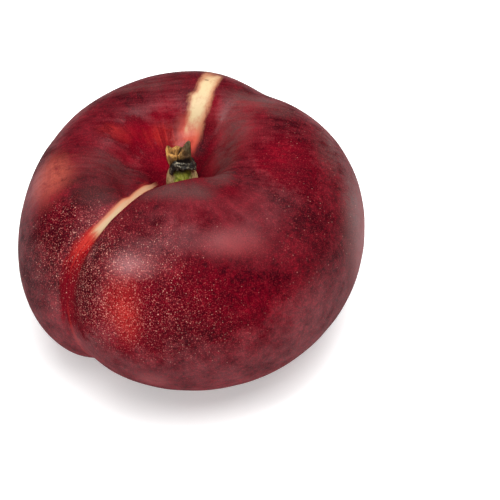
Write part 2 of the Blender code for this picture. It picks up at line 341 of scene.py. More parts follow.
class Board:
    """The nodes of one material or world."""

    def __init__(self, owner, shader="Principled BSDF"):
        self.owner = owner
        owner.use_nodes = True
        self.tree = owner.node_tree
        self.shader = self.tree.nodes[shader]

    def put(self, socket, value):
        """Link a wire to a socket, or set the socket to a plain value or a colour without alpha."""
        if isinstance(value, Wire):
            self.tree.links.new(value.socket, socket)
        elif socket.type == "RGBA":
            socket.default_value = (*value, 1.0)
        else:
            socket.default_value = value

    def add(self, kind, settings, values, output=0):
        """A node of a kind, with its settings and the values or wires of its sockets."""
        node = self.tree.nodes.new(kind)
        for setting, value in settings.items():
            setattr(node, setting, value)
        for socket, value in values.items():
            self.put(node.inputs[socket], value)
        return Wire(self, node.outputs[output])

    def finish(self, values):
        """Give the shader its values or wires, and return the material or world."""
        for socket, value in values.items():
            self.put(self.shader.inputs[socket], value)
        return self.owner

    def objects(self):
        """Place on the object, in mm."""
        place = self.add("ShaderNodeTexCoord", {}, {}, "Object")
        return self.add("ShaderNodeVectorMath", {"operation": "SCALE"}, {0: place, "Scale": 1 / MM})

    def attribute(self, name):
        return self.add("ShaderNodeAttribute", {"attribute_name": name}, {}, "Vector")

    def seam(self, name):
        """How far a place is across a seam and along it. The along is great where the seam is far off."""
        across, along, away = self.split(self.attribute(name))
        return across, along + self.step(away, *SEAM_REACH) * FAR_ALONG

    def split(self, vector):
        first = self.add("ShaderNodeSeparateXYZ", {}, {0: vector})
        return first, first.other(1), first.other(2)

    def join(self, x, y, z):
        return self.add("ShaderNodeCombineXYZ", {}, {0: x, 1: y, 2: z})

    def vector(self, operation, first, second=(0.0, 0.0, 0.0)):
        """A vector operation, whose result is a number for a distance, length or dot product."""
        output = 1 if operation in ("DISTANCE", "LENGTH", "DOT_PRODUCT") else 0
        return self.add("ShaderNodeVectorMath", {"operation": operation}, {0: first, 1: second}, output)

    def noise(self, place, size, detail, roughness):
        """Clouds from 0 to 1, of a size in the units of the place."""
        return self.add("ShaderNodeTexNoise", {}, {
            "Vector": place, "Scale": 1 / size, "Detail": detail, "Roughness": roughness})

    def cells(self, place, size):
        """How far the nearest cell's middle is, as a share of the size, and the cell's random numbers."""
        away = self.add("ShaderNodeTexVoronoi", {}, {"Vector": place, "Scale": 1 / size}, "Distance")
        return away, self.split(away.other("Color"))

    def step(self, value, low, high):
        """0 below the low value and 1 over the high one, with a soft rise. The low may be the greater."""
        return self.add("ShaderNodeMapRange", {"interpolation_type": "SMOOTHSTEP"},
                        {"Value": value, "From Min": low, "From Max": high})

    def mix(self, share, first, second):
        """A colour between two colours."""
        return self.add("ShaderNodeMix", {"data_type": "RGBA"}, {0: share, 6: first, 7: second}, 2)

    def bump(self, height, distance):
        return self.add("ShaderNodeBump", {}, {"Height": height, "Distance": distance})


# The fruit

# Soft areas of the skin, as (place, reach along x, y and z, strength), with lengths in mm
WARM_AREAS = (
    ((-13.4, -30.3, 34.6), (3.6, 5.0, 6.0), 0.9),
    ((-12.0, -32.6, 30.5), (2.6, 3.5, 4.5), 0.6),
    ((-15.5, 12.0, 40.0), (3.5, 1.6, 2.5), 0.5),
    ((-6.2, 13.2, 38.2), (3.0, 2.2, 2.5), 0.9),
)
SALMON_AREAS = (
    ((-28.7, 0.8, 38.4), (4.6, 6.0, 5.5), 1.0),
)
# Painted shade on the groove's flank beside the stem's cavity
SEAM_SHADE_AREAS = (
    ((-19.8, -6.2, 40.4), (4.6, 2.8, 3.5), 0.9),
    ((-17.5, -2.0, 39.4), (7.0, 4.5, 5.0), 0.5),
)
CRIMSON_AREAS = (
    ((-10.0, 12.8, 38.8), (4.4, 3.0, 3.4), 1.4),
    ((-5.0, 17.5, 41.3), (4.5, 2.4, 2.5), 1.0),
    ((-12.0, 7.0, 37.0), (4.0, 2.0, 3.0), 0.6),
    ((-5.0, 4.0, 34.0), (3.0, 4.0, 3.5), 0.6),
    ((-6.4, 8.8, 35.0), (2.6, 3.0, 3.5), 0.7),
    ((5.2, 18.0, 42.8), (1.6, 3.5, 3.0), 0.7),
    ((19.5, 1.5, 41.8), (5.5, 5.5, 4.0), 0.35),
    ((-7.8, -34.5, 26.0), (5.0, 3.0, 5.0), 0.6),
    ((-8.0, -32.0, 33.0), (5.0, 4.0, 6.0), 0.5),
    ((1.0, -27.5, 38.5), (9.0, 4.0, 6.0), 0.2),
    ((16.0, -27.0, 33.0), (8.0, 4.0, 7.0), 0.2),
    ((-15.0, -31.5, 31.0), (6.0, 5.0, 8.0), 0.8),
    ((-9.2, -29.4, 37.7), (2.8, 2.6, 2.6), 0.7),
)
# Darker patches of the skin. The one on the groove's flank beside the stem's cavity, at (-20.3, -6.0, 40.3),
# and the one at the near lobe's left edge, at (-19.3, -25.0, 34.5), are painted shade.
DARK_AND_SHADED_AREAS = (
    ((-20.3, -6.0, 40.3), (6.0, 4.2, 4.0), 2.4),
    ((-27.3, -11.5, 36.0), (3.5, 6.0, 6.0), 1.6),
    ((-19.3, -25.0, 34.5), (2.6, 4.0, 8.0), 1.4),
    ((18.5, 13.0, 42.0), (7.0, 1.6, 3.0), 0.3),
    ((28.5, -3.0, 37.5), (3.0, 6.0, 4.0), 0.6),
    ((5.0, -7.5, 43.5), (8.0, 3.5, 3.0), 0.2),
    ((2.0, -17.0, 43.0), (5.0, 2.6, 3.0), 0.3),
    ((10.5, -1.2, 42.5), (4.0, 1.6, 2.0), 0.9),
    ((14.8, -2.6, 42.0), (3.2, 1.8, 2.2), 1.0),
    ((24.5, -15.0, 36.0), (3.5, 5.5, 5.0), 1.0),
    ((14.0, -26.0, 35.5), (7.0, 4.0, 4.0), 0.9),
    ((-15.0, 22.0, 40.5), (8.0, 3.0, 4.0), 0.5),
    ((4.0, -29.0, 35.0), (15.0, 6.0, 8.0), 0.2),
    ((-31.5, -12.0, 29.0), (5.0, 9.0, 9.0), 0.9),
    ((-17.6, -20.8, 40.5), (3.4, 2.4, 2.6), 1.1),
    ((-9.4, -14.6, 44.6), (4.0, 2.2, 2.2), 0.8),
    ((-24.4, -12.0, 38.2), (2.8, 3.4, 3.2), 0.8),
)
# Pale dull bloom. The three areas on the near lobe's top, at y from -19.5 to -26 mm, are painted highlights
# in pale pink.
PALE_AND_HIGHLIGHT_AREAS = (
    ((-11.3, -26.0, 40.4), (4.5, 2.6, 3.5), 1.3),
    ((6.2, -21.5, 41.5), (4.5, 2.4, 2.5), 0.7),
    ((6.0, 15.5, 41.6), (3.5, 2.0, 2.0), 0.9),
    ((7.0, 11.9, 39.9), (2.4, 2.6, 2.6), 1.0),
    ((-7.3, -34.3, 15.0), (3.5, 3.0, 3.0), 0.8),
    ((34.8, -3.5, 29.0), (2.4, 11.0, 11.0), 1.4),
    ((10.5, -19.5, 41.0), (5.5, 2.8, 3.0), 0.8),
    ((10.5, 11.5, 42.6), (2.4, 6.0, 3.0), 0.7),
    ((13.2, 19.0, 42.4), (5.5, 2.2, 2.5), 0.8),
    ((-11.0, 23.4, 42.4), (6.0, 1.6, 2.5), 0.3),
    ((4.9, 5.9, 36.7), (2.5, 2.5, 3.0), 0.7),
    ((14.0, 18.5, 42.3), (5.0, 2.5, 2.5), 0.8),
    ((-31.0, 0.0, 37.0), (4.0, 6.0, 5.5), 1.2),
    ((-22.0, 3.5, 40.3), (4.0, 3.0, 3.0), 0.5),
)
FROST_AREAS = (
    ((-3.5, -9.3, 45.0), (6.5, 2.4, 2.5), 1.0),
    ((2.5, -8.0, 44.0), (3.0, 2.4, 2.5), 0.6),
    ((5.5, -3.5, 42.5), (3.0, 2.5, 2.5), 0.8),
    ((6.7, 3.5, 40.0), (2.6, 7.0, 4.0), 0.8),
    ((28.7, 8.6, 38.4), (3.0, 6.0, 4.0), 0.8),
    ((33.2, -4.0, 32.0), (2.4, 12.0, 9.0), 0.9),
    ((12.1, 20.0, 42.3), (5.5, 2.4, 2.5), 0.9),
    ((17.8, 17.4, 42.0), (4.0, 2.6, 2.5), 1.0),
    ((9.0, 12.5, 42.2), (3.6, 5.0, 3.0), 0.7),
    ((-16.0, 3.0, 38.5), (7.0, 3.5, 4.0), 0.5),
    ((-10.0, 23.6, 42.4), (7.0, 2.0, 2.5), 0.6),
)
# Where the skin has less of the wide gloss that shows as a pale haze
SLEEK_AREAS = (
    ((-21.6, -26.5, 32.0), (2.6, 5.0, 9.0), 1.6),
    ((3.8, 14.6, 40.2), (2.4, 5.0, 4.0), 1.0),
    ((3.0, -15.5, 43.3), (7.0, 3.0, 3.0), 0.6),
    ((-7.7, -18.6, 43.5), (5.0, 2.2, 3.0), 0.4),
    ((-26.5, -11.5, 37.5), (5.0, 6.0, 5.0), 0.7),
    ((8.0, -7.0, 42.6), (3.0, 2.0, 2.5), 0.5),
    ((19.0, 2.0, 42.0), (6.0, 6.0, 4.0), 1.5),
    ((24.4, -2.5, 40.2), (3.5, 4.0, 4.0), 0.4),
    ((-15.5, 13.0, 40.5), (5.0, 3.0, 3.0), 0.6),
    ((24.0, -10.0, 38.0), (7.0, 8.0, 6.0), 0.2),
    ((2.0, -28.0, 36.0), (15.0, 6.0, 9.0), 0.6),
    ((8.0, -31.0, 28.0), (14.0, 6.0, 8.0), 0.5),
    ((-6.8, 8.6, 35.2), (3.4, 3.8, 4.0), 2.0),
    ((1.8, 9.2, 36.2), (2.6, 3.8, 4.0), 1.6),
)
# Kinds of pale dots, as (size of the cell that holds one, in mm, the dot's radius as a share of it, strength)
DOTS = ((0.42, 0.34, 0.85), (0.8, 0.2, 1.0), (1.9, 0.1, 1.0))


def raise_relief(piece, height):
    """Slow unevenness of the skin, and the dry scar's low rim in the base's dimple."""
    points = read_points(piece.data)
    outward = read_normals(piece.data)
    moved = points.copy()
    scar = np.array(BLOSSOM_END) * MM
    for index, (point, normal) in enumerate(zip(points, outward)):
        place = Vector(point) / MM
        lump = noise.noise(place / 9.0) + 0.5 * noise.noise(place / 4.0)
        lift = height * lump * min(1.0, point[2] / (3 * MM))
        away = np.linalg.norm(point - scar) / MM
        lift -= 0.35 * MM * math.exp(-((away - 1.6) / 0.7) ** 2)
        moved[index] = point + normal * lift
    write_points(piece.data, moved)


class SkinPaint:
    """The skin's material, painted in layers. Lengths are in mm, and noises run from 0 to 1."""

    def __init__(self, look):
        self.look = look
        board = self.board = Board(bpy.data.materials.new("peach_skin"))
        self.place = board.objects()
        x, y, z = self.x, self.y, self.z = board.split(self.place)

        # Streaks and hairs run out from the stem and down the sides.
        from_stem = board.join(x - STEM_AXIS[0], y - STEM_AXIS[1], 0.0)
        radius = board.vector("LENGTH", from_stem)
        heading_x, heading_y, _ = board.split(board.vector("NORMALIZE", from_stem))
        run = radius * 0.05 - z * 0.035
        self.near_stem = board.step(radius, 34.0, 16.0)
        self.streaks = board.noise(board.join(heading_x * 5.0, heading_y * 5.0, run), 1.0, 5.0, 0.65)
        self.hairs = board.noise(board.join(heading_x * 22.0, heading_y * 22.0, run * 3.0), 1.0, 4.0, 0.65)

        # Long streaks across the far shoulder
        brushed = board.noise(board.join(x * 0.1 + y * 0.04, y, z * 0.7), 1.0, 5.0, 0.68)
        self.brushed = (brushed - 0.5) * board.step(y, -9.0, 1.0) * board.step(z, 26.0, 35.0)

        self.clouds = board.noise(self.place, 13.0, 3.0, 0.6)
        self.mottle = board.noise(self.place, 3.2, 5.0, 0.7)
        self.grain = board.noise(self.place, 0.75, 4.0, 0.75)
        self.ragged = ((self.mottle - 0.5) * 1.6 + (self.streaks - 0.5) * self.near_stem * 1.8
                       + (self.grain - 0.5) * 0.6)

    def lay(self, share, colour):
        """Paint a colour over the layers so far."""
        self.colour = self.board.mix(share, self.colour, colour)

    def area(self, listed, raggedness=1.0):
        """Sum of soft areas, each an oval with a ragged rim."""
        board = self.board
        ragged = self.ragged * raggedness
        total = 0.0
        for centre, reach, strength in listed:
            offset = board.vector("SUBTRACT", self.place, centre)
            far = board.vector("LENGTH", board.vector("DIVIDE", offset, reach))
            total = board.step(far + ragged, 1.6, 0.2) * strength + total
        return total

    def patches(self):
        """Maroon, burgundy and crimson, with painted shade in some of the dark areas, then pale patches with
        painted highlights on the near lobe, warm, salmon and waxy patches, and painted shade beside the seam.
        """
        board, look = self.board, self.look
        self.crimson = self.area(CRIMSON_AREAS)
        self.pale = self.area(PALE_AND_HIGHLIGHT_AREAS)
        self.dark_and_shade = self.area(DARK_AND_SHADED_AREAS)
        tone = (self.clouds - 0.5) * 1.2 + (self.mottle - 0.5) * 0.7
        tone = tone + self.near_stem * ((self.streaks - 0.5) * 1.2 + (self.hairs - 0.5) * 0.35)
        tone = tone + (self.grain - 0.5) * (2.0 - self.near_stem * 1.3) + self.brushed * 0.7
        # The dark areas lower the tone towards maroon: partly real dark patches, partly painted shade.
        tone = tone + self.crimson * 0.32 - self.dark_and_shade * 0.26
        self.colour = board.mix(board.step(tone, -0.42, 0.04), look.dark, look.middle)
        self.lay(board.step(tone, -0.02, 0.55), look.bright)
        # Pale bloom, and painted highlights on the near lobe's top
        self.lay((self.pale * 0.4).least(0.8), look.bloom_and_highlight)

        uneven = 0.3 + board.step(self.mottle + (self.hairs - 0.5) * self.near_stem, 0.3, 0.7) * 0.75
        self.lay((self.area(WARM_AREAS) * uneven).least(1.0), look.blush)
        uneven = 0.6 + (self.mottle - 0.5) * 2.4 + (self.grain - 0.5) * 1.6
        self.lay((self.area(SALMON_AREAS) * uneven).most(0.0).least(1.0), look.salmon)
        uneven = 0.85 + self.brushed * 3.0 + (self.mottle - 0.5) * 1.2
        self.lay((self.area(FROST_AREAS, 0.6) * uneven).most(0.0).least(0.95), look.frost)
        # Painted shade on the groove's flank beside the stem's cavity
        self.seam_shade = self.area(SEAM_SHADE_AREAS, 0.4).least(1.0)
        self.lay(self.seam_shade, look.seam_shade)

    def dots(self):
        """Fine grain, and pale dots that crowd on the side between the seam and the near shoulder."""
        board, look = self.board, self.look
        facing = self.x * -0.75 - self.y * 0.72 - (self.y + 9.0).most(0.0) * 1.5
        facing = facing - (self.x * -1.0 - 22.0).most(0.0) * 1.3
        crowd = board.step(facing + (self.clouds - 0.5) * 22.0, 8.0, 38.0)
        # Fewer dots in the painted shade beside the seam
        crowd = crowd * board.step(self.z, 18.0, 33.0) * (1.0 - self.seam_shade)
        crowd = crowd.most(board.step(self.x, 10.0, 22.0) * board.step(self.z, 24.0, 34.0) * 0.1)
        fleck = board.noise(self.place, 0.27, 2.0, 0.9)
        self.lay(board.step(fleck, 0.48, 0.36) * (0.3 + crowd * 0.65).least(0.9), look.dark)
        self.lay(board.step(fleck, 0.54, 0.64) * (0.22 + crowd * 0.4), look.pink)
        self.lay(board.step(fleck, 0.6, 0.7) * crowd * (0.25 + crowd * 0.65), look.dots)
        # Less than 1 where flecks and dots show through the red band
        self.bare = board.step(fleck, 0.36, 0.48) * 0.4 + 0.6
        clumps = board.noise(self.place, 2.2, 2.0, 0.6)
        crowd = (crowd * (0.45 + clumps * 1.1)).least(1.0)
        for size, reach, share in DOTS:
            away, (kind, strength, _) = board.cells(self.place, size)
            spot = board.step(away, reach, reach * 0.45)
            spot = spot * board.step(kind, 0.995 - 0.85 * crowd, 1.02 - 0.35 * crowd)
            glint = spot * (0.1 + strength * 0.9) * (0.4 + crowd * 0.8).least(1.0)
            self.lay(glint * share, look.dots)
            self.bare = self.bare * (1.0 - glint * share * 0.8)

    def front_marking(self):
        """Cream line along the upper part of the groove, then a red band that deepens and fades."""
        board, look = self.board, self.look
        across, along = board.seam("front_seam")
        wisps = board.noise(board.join(across * 1.6, along * 0.22, self.z * 0.05), 1.0, 5.0, 0.7) - 0.5
        lines = board.noise(board.join(across * 2.6, along * 0.12, self.z * 0.03), 1.0, 3.0, 0.6)
        side = across + wisps * 1.2

        band = board.step(side, -2.7, -0.6) * board.step(side + wisps * 1.5, 2.8, 0.9) * self.bare
        band = band * board.step(along, 24.0, 29.0) * board.step(along + wisps * 12.0, 53.0, 42.0)
        red = board.mix(board.step(along + wisps * 9.0, 29.0, 39.0), look.scarlet, look.deep)
        self.lay(band * (0.25 + board.step(lines, 0.38, 0.58) * 0.65), red)
        bright = band * board.step(side, -1.4, 0.4) * board.step(along + wisps * 10.0, 39.0, 31.0)
        self.lay(bright * board.step(lines, 0.4, 0.62) * 0.5, look.flame)
        self.band = band

        halo = board.step(side, 2.3, 0.4) * board.step(side, -1.4, -0.2)
        halo = halo * board.step(along, 4.0, 12.0) * board.step(along + wisps * 12.0, 33.0, 24.0)
        self.lay(halo * (0.1 + board.step(lines, 0.35, 0.7) * 0.9), look.halo)

        edge = (across + wisps * 0.5) / (0.35 + board.step(along, 4.0, 15.0) * 0.65)
        tan = board.step(edge, 1.7, 1.05) * board.step(edge, -1.4, -1.1)
        tan = tan * board.step(along, 2.5, 6.5) * board.step(along + wisps * 4.0, 29.0, 25.5)
        self.lay(tan * 0.85, look.tan)
        cream = board.step(edge, 1.1, 0.55) * board.step(edge, -1.2, -0.7)
        cream = cream * board.step(along, 3.0, 8.0) * board.step(along + wisps * 3.0, 27.8, 25.8)
        self.lay(cream * (0.45 + board.step(along, 14.0, 25.0) * 0.4 + wisps).most(0.0).least(1.0), look.line)

        thread = board.step(abs(side - 0.2), 0.4, 0.1)
        thread = thread * board.step(along, 42.0, 47.0) * board.step(along, 66.0, 56.0)
        self.lay(thread * 0.35, look.blush)

    def back_marking(self):
        """Broad cream stripe, mottled and soft at its edges, with a salmon foot and a brown fleck."""
        board, look = self.board, self.look
        across, along = board.seam("back_seam")
        wisps = board.noise(board.join(across * 0.7, along * 0.35, self.z * 0.1), 1.0, 5.0, 0.65) - 0.5
        side = across + wisps * 2.2

        foot = board.step(side, 1.9, 0.4) * board.step(side, -4.8, -2.2)
        foot = foot * board.step(along + wisps * 6.0, 13.0, 8.5) * board.step(along + wisps * 3.0, 2.0, 6.5)
        self.lay(foot * (0.85 + wisps).least(1.0), look.halo)
        inner = foot * board.step(side, 1.8, 0.2) * board.step(side, -3.0, -1.2) * board.step(along, 3.0, 7.0)
        self.lay(inner * (0.6 + wisps * 1.5).most(0.0).least(1.0), look.foot)

        bulge = side + board.step(along, 17.6, 15.2) * board.step(along, 10.0, 15.2) * 0.8
        edge = board.step(side, 2.2, 1.0) * board.step(bulge, -2.7, -1.6)
        edge = edge * board.step(along + wisps * 4.0, 5.5, 11.0) * board.step(along + wisps * 6.0, 27.0, 22.0)
        self.lay(edge * 0.8, look.tan)
        cream = board.step(side, 1.5, 0.3) * board.step(bulge, -2.2, -0.9)
        cream = cream * board.step(along + wisps * 5.0 + across * -0.7, 8.0, 12.5)
        cream = cream * board.step(along + wisps * 5.0 - across * 0.8, 24.5, 20.5)
        self.lay(cream * (0.9 + wisps * 2.2 + (self.grain - 0.5) * 0.8).most(0.0).least(1.0), look.ground)

        away = board.vector("LENGTH", board.join(across + 0.9, (along - 20.6) * 1.6, 0.0))
        self.lay(board.step(away + wisps * 0.6, 0.6, 0.2) * 0.6, look.scar)

    def material(self):
        """All layers, the dry scar at the blossom end, and the gloss."""
        board, look = self.board, self.look
        self.patches()
        self.dots()
        self.front_marking()
        self.back_marking()
        away = board.vector("DISTANCE", self.place, BLOSSOM_END)
        scar = board.step(away + (self.mottle - 0.5) * 1.5, 2.2, 1.4)
        self.lay(scar, look.scar)
        waxy = self.clouds * 0.9 + self.mottle * 0.5 - 0.25 - self.crimson * 0.4 - self.dark_and_shade * 0.12
        waxy = waxy + self.pale * 0.35 + self.brushed * 1.2
        waxy = waxy - self.area(SLEEK_AREAS, 0.7) * 0.6 - self.band * 0.9
        return board.finish({
            "Base Color": self.colour,
            "Roughness": look.roughness + (self.mottle - 0.5) * 0.15 + scar * 0.3,
            "IOR": 1.4,
            "Specular IOR Level": 0.0,
            "Coat Weight": (waxy * 0.34).least(1.0).most(0.02),
            "Coat IOR": 1.9,
            "Coat Roughness": 0.36,
            "Normal": board.bump(self.grain + self.mottle * 0.5, 0.06 * MM),
        })


class PEACH_OT_fruit(bpy.types.Operator):
    """Model the fruit's skin over its solid and paint it"""
    bl_idname = "peach.fruit"
    bl_label = "Fruit"

    def execute(self, context):
        look = context.scene.peach_skin
        fruit = copy_node("fruit", "fruit_skin")
        subdivide(fruit, look.levels)
        raise_relief(fruit, look.relief)
        lay_line(fruit, "front_seam", FRONT_SEAM)
        lay_line(fruit, "back_seam", BACK_SEAM)
        fruit.data.materials.append(SkinPaint(look).material())
        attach(fruit, "root")
        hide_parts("fruit")
        return {"FINISHED"}


# The stem

STEM_FOOT = (-1.82, 2.75)  # mm on plan
STEM_LEAN = (-0.7, 0.2)  # mm, from the foot to the torn end
STEM_SIDES = 56
# Outline of the stem, as (height over its foot, radius) in mm
STEM_OUTLINE = (
    (0.0, 2.9), (0.5, 3.2), (1.4, 3.35), (2.6, 3.35), (3.6, 3.3), (4.6, 3.1), (5.4, 2.75), (6.2, 2.4),
    (6.8, 2.15), (7.4, 2.05), (7.9, 2.12), (8.3, 2.35), (8.6, 2.55), (8.9, 2.68), (9.2, 2.74), (9.5, 2.78),
    (9.8, 2.8), (10.1, 2.78), (10.3, 2.7),
)
END_RINGS, END_RING_WIDTH = 7, 0.33 * MM  # edge loops on the torn end
TORN_START = 8.0  # mm over the foot
BREAK_LEVEL = 7.9  # mm over the foot, the floor of the part that broke away in front
# Edge of the part that broke away, in mm from the stem's middle
BREAK_LINE = ((-2.6, -3.0), (-0.7, -1.0), (0.3, -0.4), (2.9, 0.0))
# Splinters and gaps of the torn rim, as (azimuth, spread, height in mm)
SPLINTERS = ((44, 20, 2.2), (92, 16, 0.3), (116, 10, -0.2), (146, 18, 0.9), (178, 12, 0.4), (-150, 16, 0.7),
             (10, 12, -0.9))
# Cracks across the torn end, as (start, end, depth), in mm from the stem's middle
CRACKS = (((-1.5, 0.8), (-0.5, 0.0), 0.75), ((-0.6, 0.0), (0.7, 2.4), 1.1), ((0.4, -0.5), (1.9, 0.3), 0.7),
          ((-1.9, -1.0), (-1.6, 1.2), 0.3), ((1.9, 0.4), (1.7, 1.6), 0.35))
CRACK_WIDTH = 0.26  # mm


def turn_between(azimuth, other):
    return (azimuth - other + 180.0) % 360.0 - 180.0


def smooth(value, low, high):
    """0 below the low value and 1 over the high one, with a soft rise."""
    share = min(max((value - low) / (high - low), 0.0), 1.0)
    return share * share * (3 - 2 * share)


def crack_depth(across, deep):
    """Depth of the cracks at a place on the torn end, in mm."""
    depth = 0.0
    for (ax, ay), (bx, by), most in CRACKS:
        along = ((across - ax) * (bx - ax) + (deep - ay) * (by - ay)) / ((bx - ax) ** 2 + (by - ay) ** 2)
        along = min(max(along, 0.0), 1.0)
        off = math.hypot(across - ax - along * (bx - ax), deep - ay - along * (by - ay))
        depth = max(depth, most * math.exp(-((off / CRACK_WIDTH) ** 2)))
    return depth


def tear_stem(piece, foot, fibre):
    """Lean the stem and tear its end into splinters and cracks, with a part broken away in front.

    The attribute "tear" keeps how deep each place is in a crack, and how far in the broken part.
    """
    points = read_points(piece.data) / MM
    tear = np.zeros_like(points)
    top, rim = STEM_OUTLINE[-1]
    line_x, line_y = zip(*BREAK_LINE)
    for point, mark in zip(points, tear):
        height = point[2] - foot[2]
        across, deep = point[0] - foot[0], point[1] - foot[1]
        azimuth = math.degrees(math.atan2(deep, across))
        around = Vector((math.cos(math.radians(azimuth)), math.sin(math.radians(azimuth)), 0.0))
        share = min(math.hypot(across, deep) / rim, 1.0)
        torn = smooth(height, TORN_START, top)
        wander = 0.25 * noise.noise(Vector((across * 1.5, deep * 1.5, 5.0)))
        broken = smooth(float(np.interp(across, line_x, line_y)) - deep + wander, -0.1, 0.35)
        broken *= smooth(height, BREAK_LEVEL - 0.5, BREAK_LEVEL + 0.2)
        rise = sum(tall * math.exp(-((turn_between(azimuth, centre) / spread) ** 4))
                   for centre, spread, tall in SPLINTERS) * share**2
        crack = crack_depth(across, deep)
        ridges = abs(math.sin(2.1 * across + 0.5 * noise.noise(Vector((across, deep, 3.0)))))
        rise += fibre * (ridges - 0.5) * 2.0 - 0.08 * deep - crack
        rise += 0.35 * noise.noise(Vector((across * 1.7, deep * 1.7, 7.0)))
        squared = 1 + 0.1 * torn * math.cos(math.radians(4 * azimuth - 180.0))
        furrow = noise.noise(around * 3.5 + Vector((0.0, 0.0, height * 0.25)))
        lump = noise.noise(Vector((across * 0.6, deep * 0.6, height * 0.7 + 20.0)))
        swell = squared * (1 + torn * (0.14 * furrow - 0.1 * crack) + 0.045 * lump) * (1 - 0.24 * broken)
        lean = (height / top) ** 2
        point[0] = foot[0] + across * swell + STEM_LEAN[0] * lean
        point[1] = foot[1] + deep * swell + STEM_LEAN[1] * lean
        point[2] += torn * rise * (1 - broken) - broken * (height - BREAK_LEVEL) * 0.9
        mark[:2] = crack * share * torn, broken
    piece.data.attributes.new("tear", "FLOAT_VECTOR", "POINT").data.foreach_set("vector", tear.ravel())
    write_points(piece.data, points * MM)


def stem_material(look):
    """Green foot with beige sides, near-black painted shade on the neck, and torn tan wood with brown fibres,
    painted shade in its cracks and where it broke away in front.
    """
    board = Board(bpy.data.materials.new("peach_stem"))
    place = board.objects()
    x, y, z = board.split(place)
    crack, broken, _ = board.split(board.attribute("tear"))
    fibres = board.noise(board.join(x * 1.5, y * 0.5, z * 0.35), 1.0, 3.0, 0.6)
    fine = board.noise(board.join(x * 5.5, y * 1.6, z * 1.2), 1.0, 3.0, 0.6)
    blots = board.noise(place, 1.1, 3.0, 0.6)

    wood = board.mix(board.step(fibres, 0.36, 0.6), look.brown, look.wood)
    wood = board.mix(board.step(fine, 0.5, 0.34) * 0.45, wood, look.bark_and_crack_shade)
    wood = board.mix(board.step(fibres + blots * 0.5, 0.74, 0.95) * 0.6, wood, look.fresh)
    weathered = board.step(x + (blots - 0.5) * 1.6, -2.8, -1.2) * 0.9
    wood = board.mix(weathered, wood, look.weathered)
    prong = board.step(x, -1.6, -0.9) * board.step(y, 3.3, 4.0)
    wood = board.mix(prong * 0.6, wood, look.grey)
    wood = board.mix(board.step(fine, 0.56, 0.4) * weathered * 0.7, wood, look.bark_and_crack_shade)
    # Painted shade in the cracks, by their depth
    wood = board.mix(board.step(crack, 0.12, 0.5) * 0.9, wood, look.bark_and_crack_shade)
    # Near-black painted shade in the recess where the stem broke away in front
    wood = board.mix(board.step(broken, 0.1, 0.6), wood, look.break_shade)

    foot = board.mix(board.step(blots, 0.35, 0.6), look.leaf, look.green)
    sides = abs(x + 1.75 + (blots - 0.5) * 3.0)
    foot = board.mix(board.step(sides, 0.7, 1.5) * 0.6, foot, look.olive)
    foot = board.mix(board.step(sides, 1.3, 2.3) * board.step(z, 40.0, 38.8) * 0.85, foot, look.beige)
    foot = board.mix(board.step(fine, 0.5, 0.36) * 0.5, foot, look.furrow)
    foot = board.mix(board.step(fine, 0.58, 0.7) * 0.6, foot, look.ridge)

    # Near-black painted shade on the neck, under the overhang of the torn wood
    shaded_neck = board.step(z + (blots - 0.5) * 1.2, 39.0, 40.3)
    colour = board.mix(shaded_neck, foot, look.shaded_neck)
    colour = board.mix(board.step(z + (fibres - 0.5) * 0.8, 40.6, 41.2), colour, wood)
    return board.finish({
        "Base Color": colour,
        "Roughness": 0.75 - 0.2 * (1 - shaded_neck),
        "Specular IOR Level": 0.3,
        "Normal": board.bump(fibres + fine * 0.6, 0.3 * MM),
    })


class PEACH_OT_stem(bpy.types.Operator):
    """Model the stem from its green foot to its torn end"""
    bl_idname = "peach.stem"
    bl_label = "Stem"

    def execute(self, context):
        look = context.scene.peach_stem
        low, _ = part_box("stem")
        foot = (*STEM_FOOT, low[2] / MM)
        deselect()
        bpy.ops.mesh.primitive_circle_add(vertices=STEM_SIDES, radius=STEM_OUTLINE[0][1] * MM,
                                          fill_type="NGON", location=Vector(foot) * MM)
        stem = context.object
        stem.name = "stem_torn"
        bpy.ops.object.transform_apply(location=True, rotation=True, scale=True)
        bpy.ops.object.mode_set(mode="EDIT")
        bpy.ops.mesh.select_all(action="SELECT")
        for (start, before), (height, radius) in zip(STEM_OUTLINE, STEM_OUTLINE[1:]):
            bpy.ops.mesh.extrude_region_move(
                TRANSFORM_OT_translate={"value": (0.0, 0.0, (height - start) * MM)})
            grow = radius / before
            bpy.ops.transform.resize(value=(grow, grow, 1.0), center_override=Vector(foot) * MM)
        for _ in range(END_RINGS):
            bpy.ops.mesh.inset(thickness=END_RING_WIDTH)
        bpy.ops.mesh.poke()
        bpy.ops.mesh.select_all(action="SELECT")
        bpy.ops.mesh.normals_make_consistent(inside=False)
        bpy.ops.object.mode_set(mode="OBJECT")
        tear_stem(stem, foot, look.fibre / MM)
        subdivide(stem, 1)
        stem.data.materials.append(stem_material(look))
        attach(stem, "root")
        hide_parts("stem")
        return {"FINISHED"}


# The bud scales

SCALES_MIDDLE = Vector((-1.7, 2.75, 41.0))  # mm, middle of the ring of scales
SCALES_TILT = (-0.28, -0.28)  # rise of the ring to the right and to the back
SCALES_ARCH = 0.11  # fall of the ring to both sides, per mm squared
SCALES_START = 1.7  # mm, from the ring's middle to a scale's root
COLLAR_RADIUS, COLLAR_THICKNESS = 2.3, 0.52  # mm, to the collar's middle line and out from it
COLLAR_SEED = 1  # of the collar's lumps, because vector noise is seeded by the clock otherwise
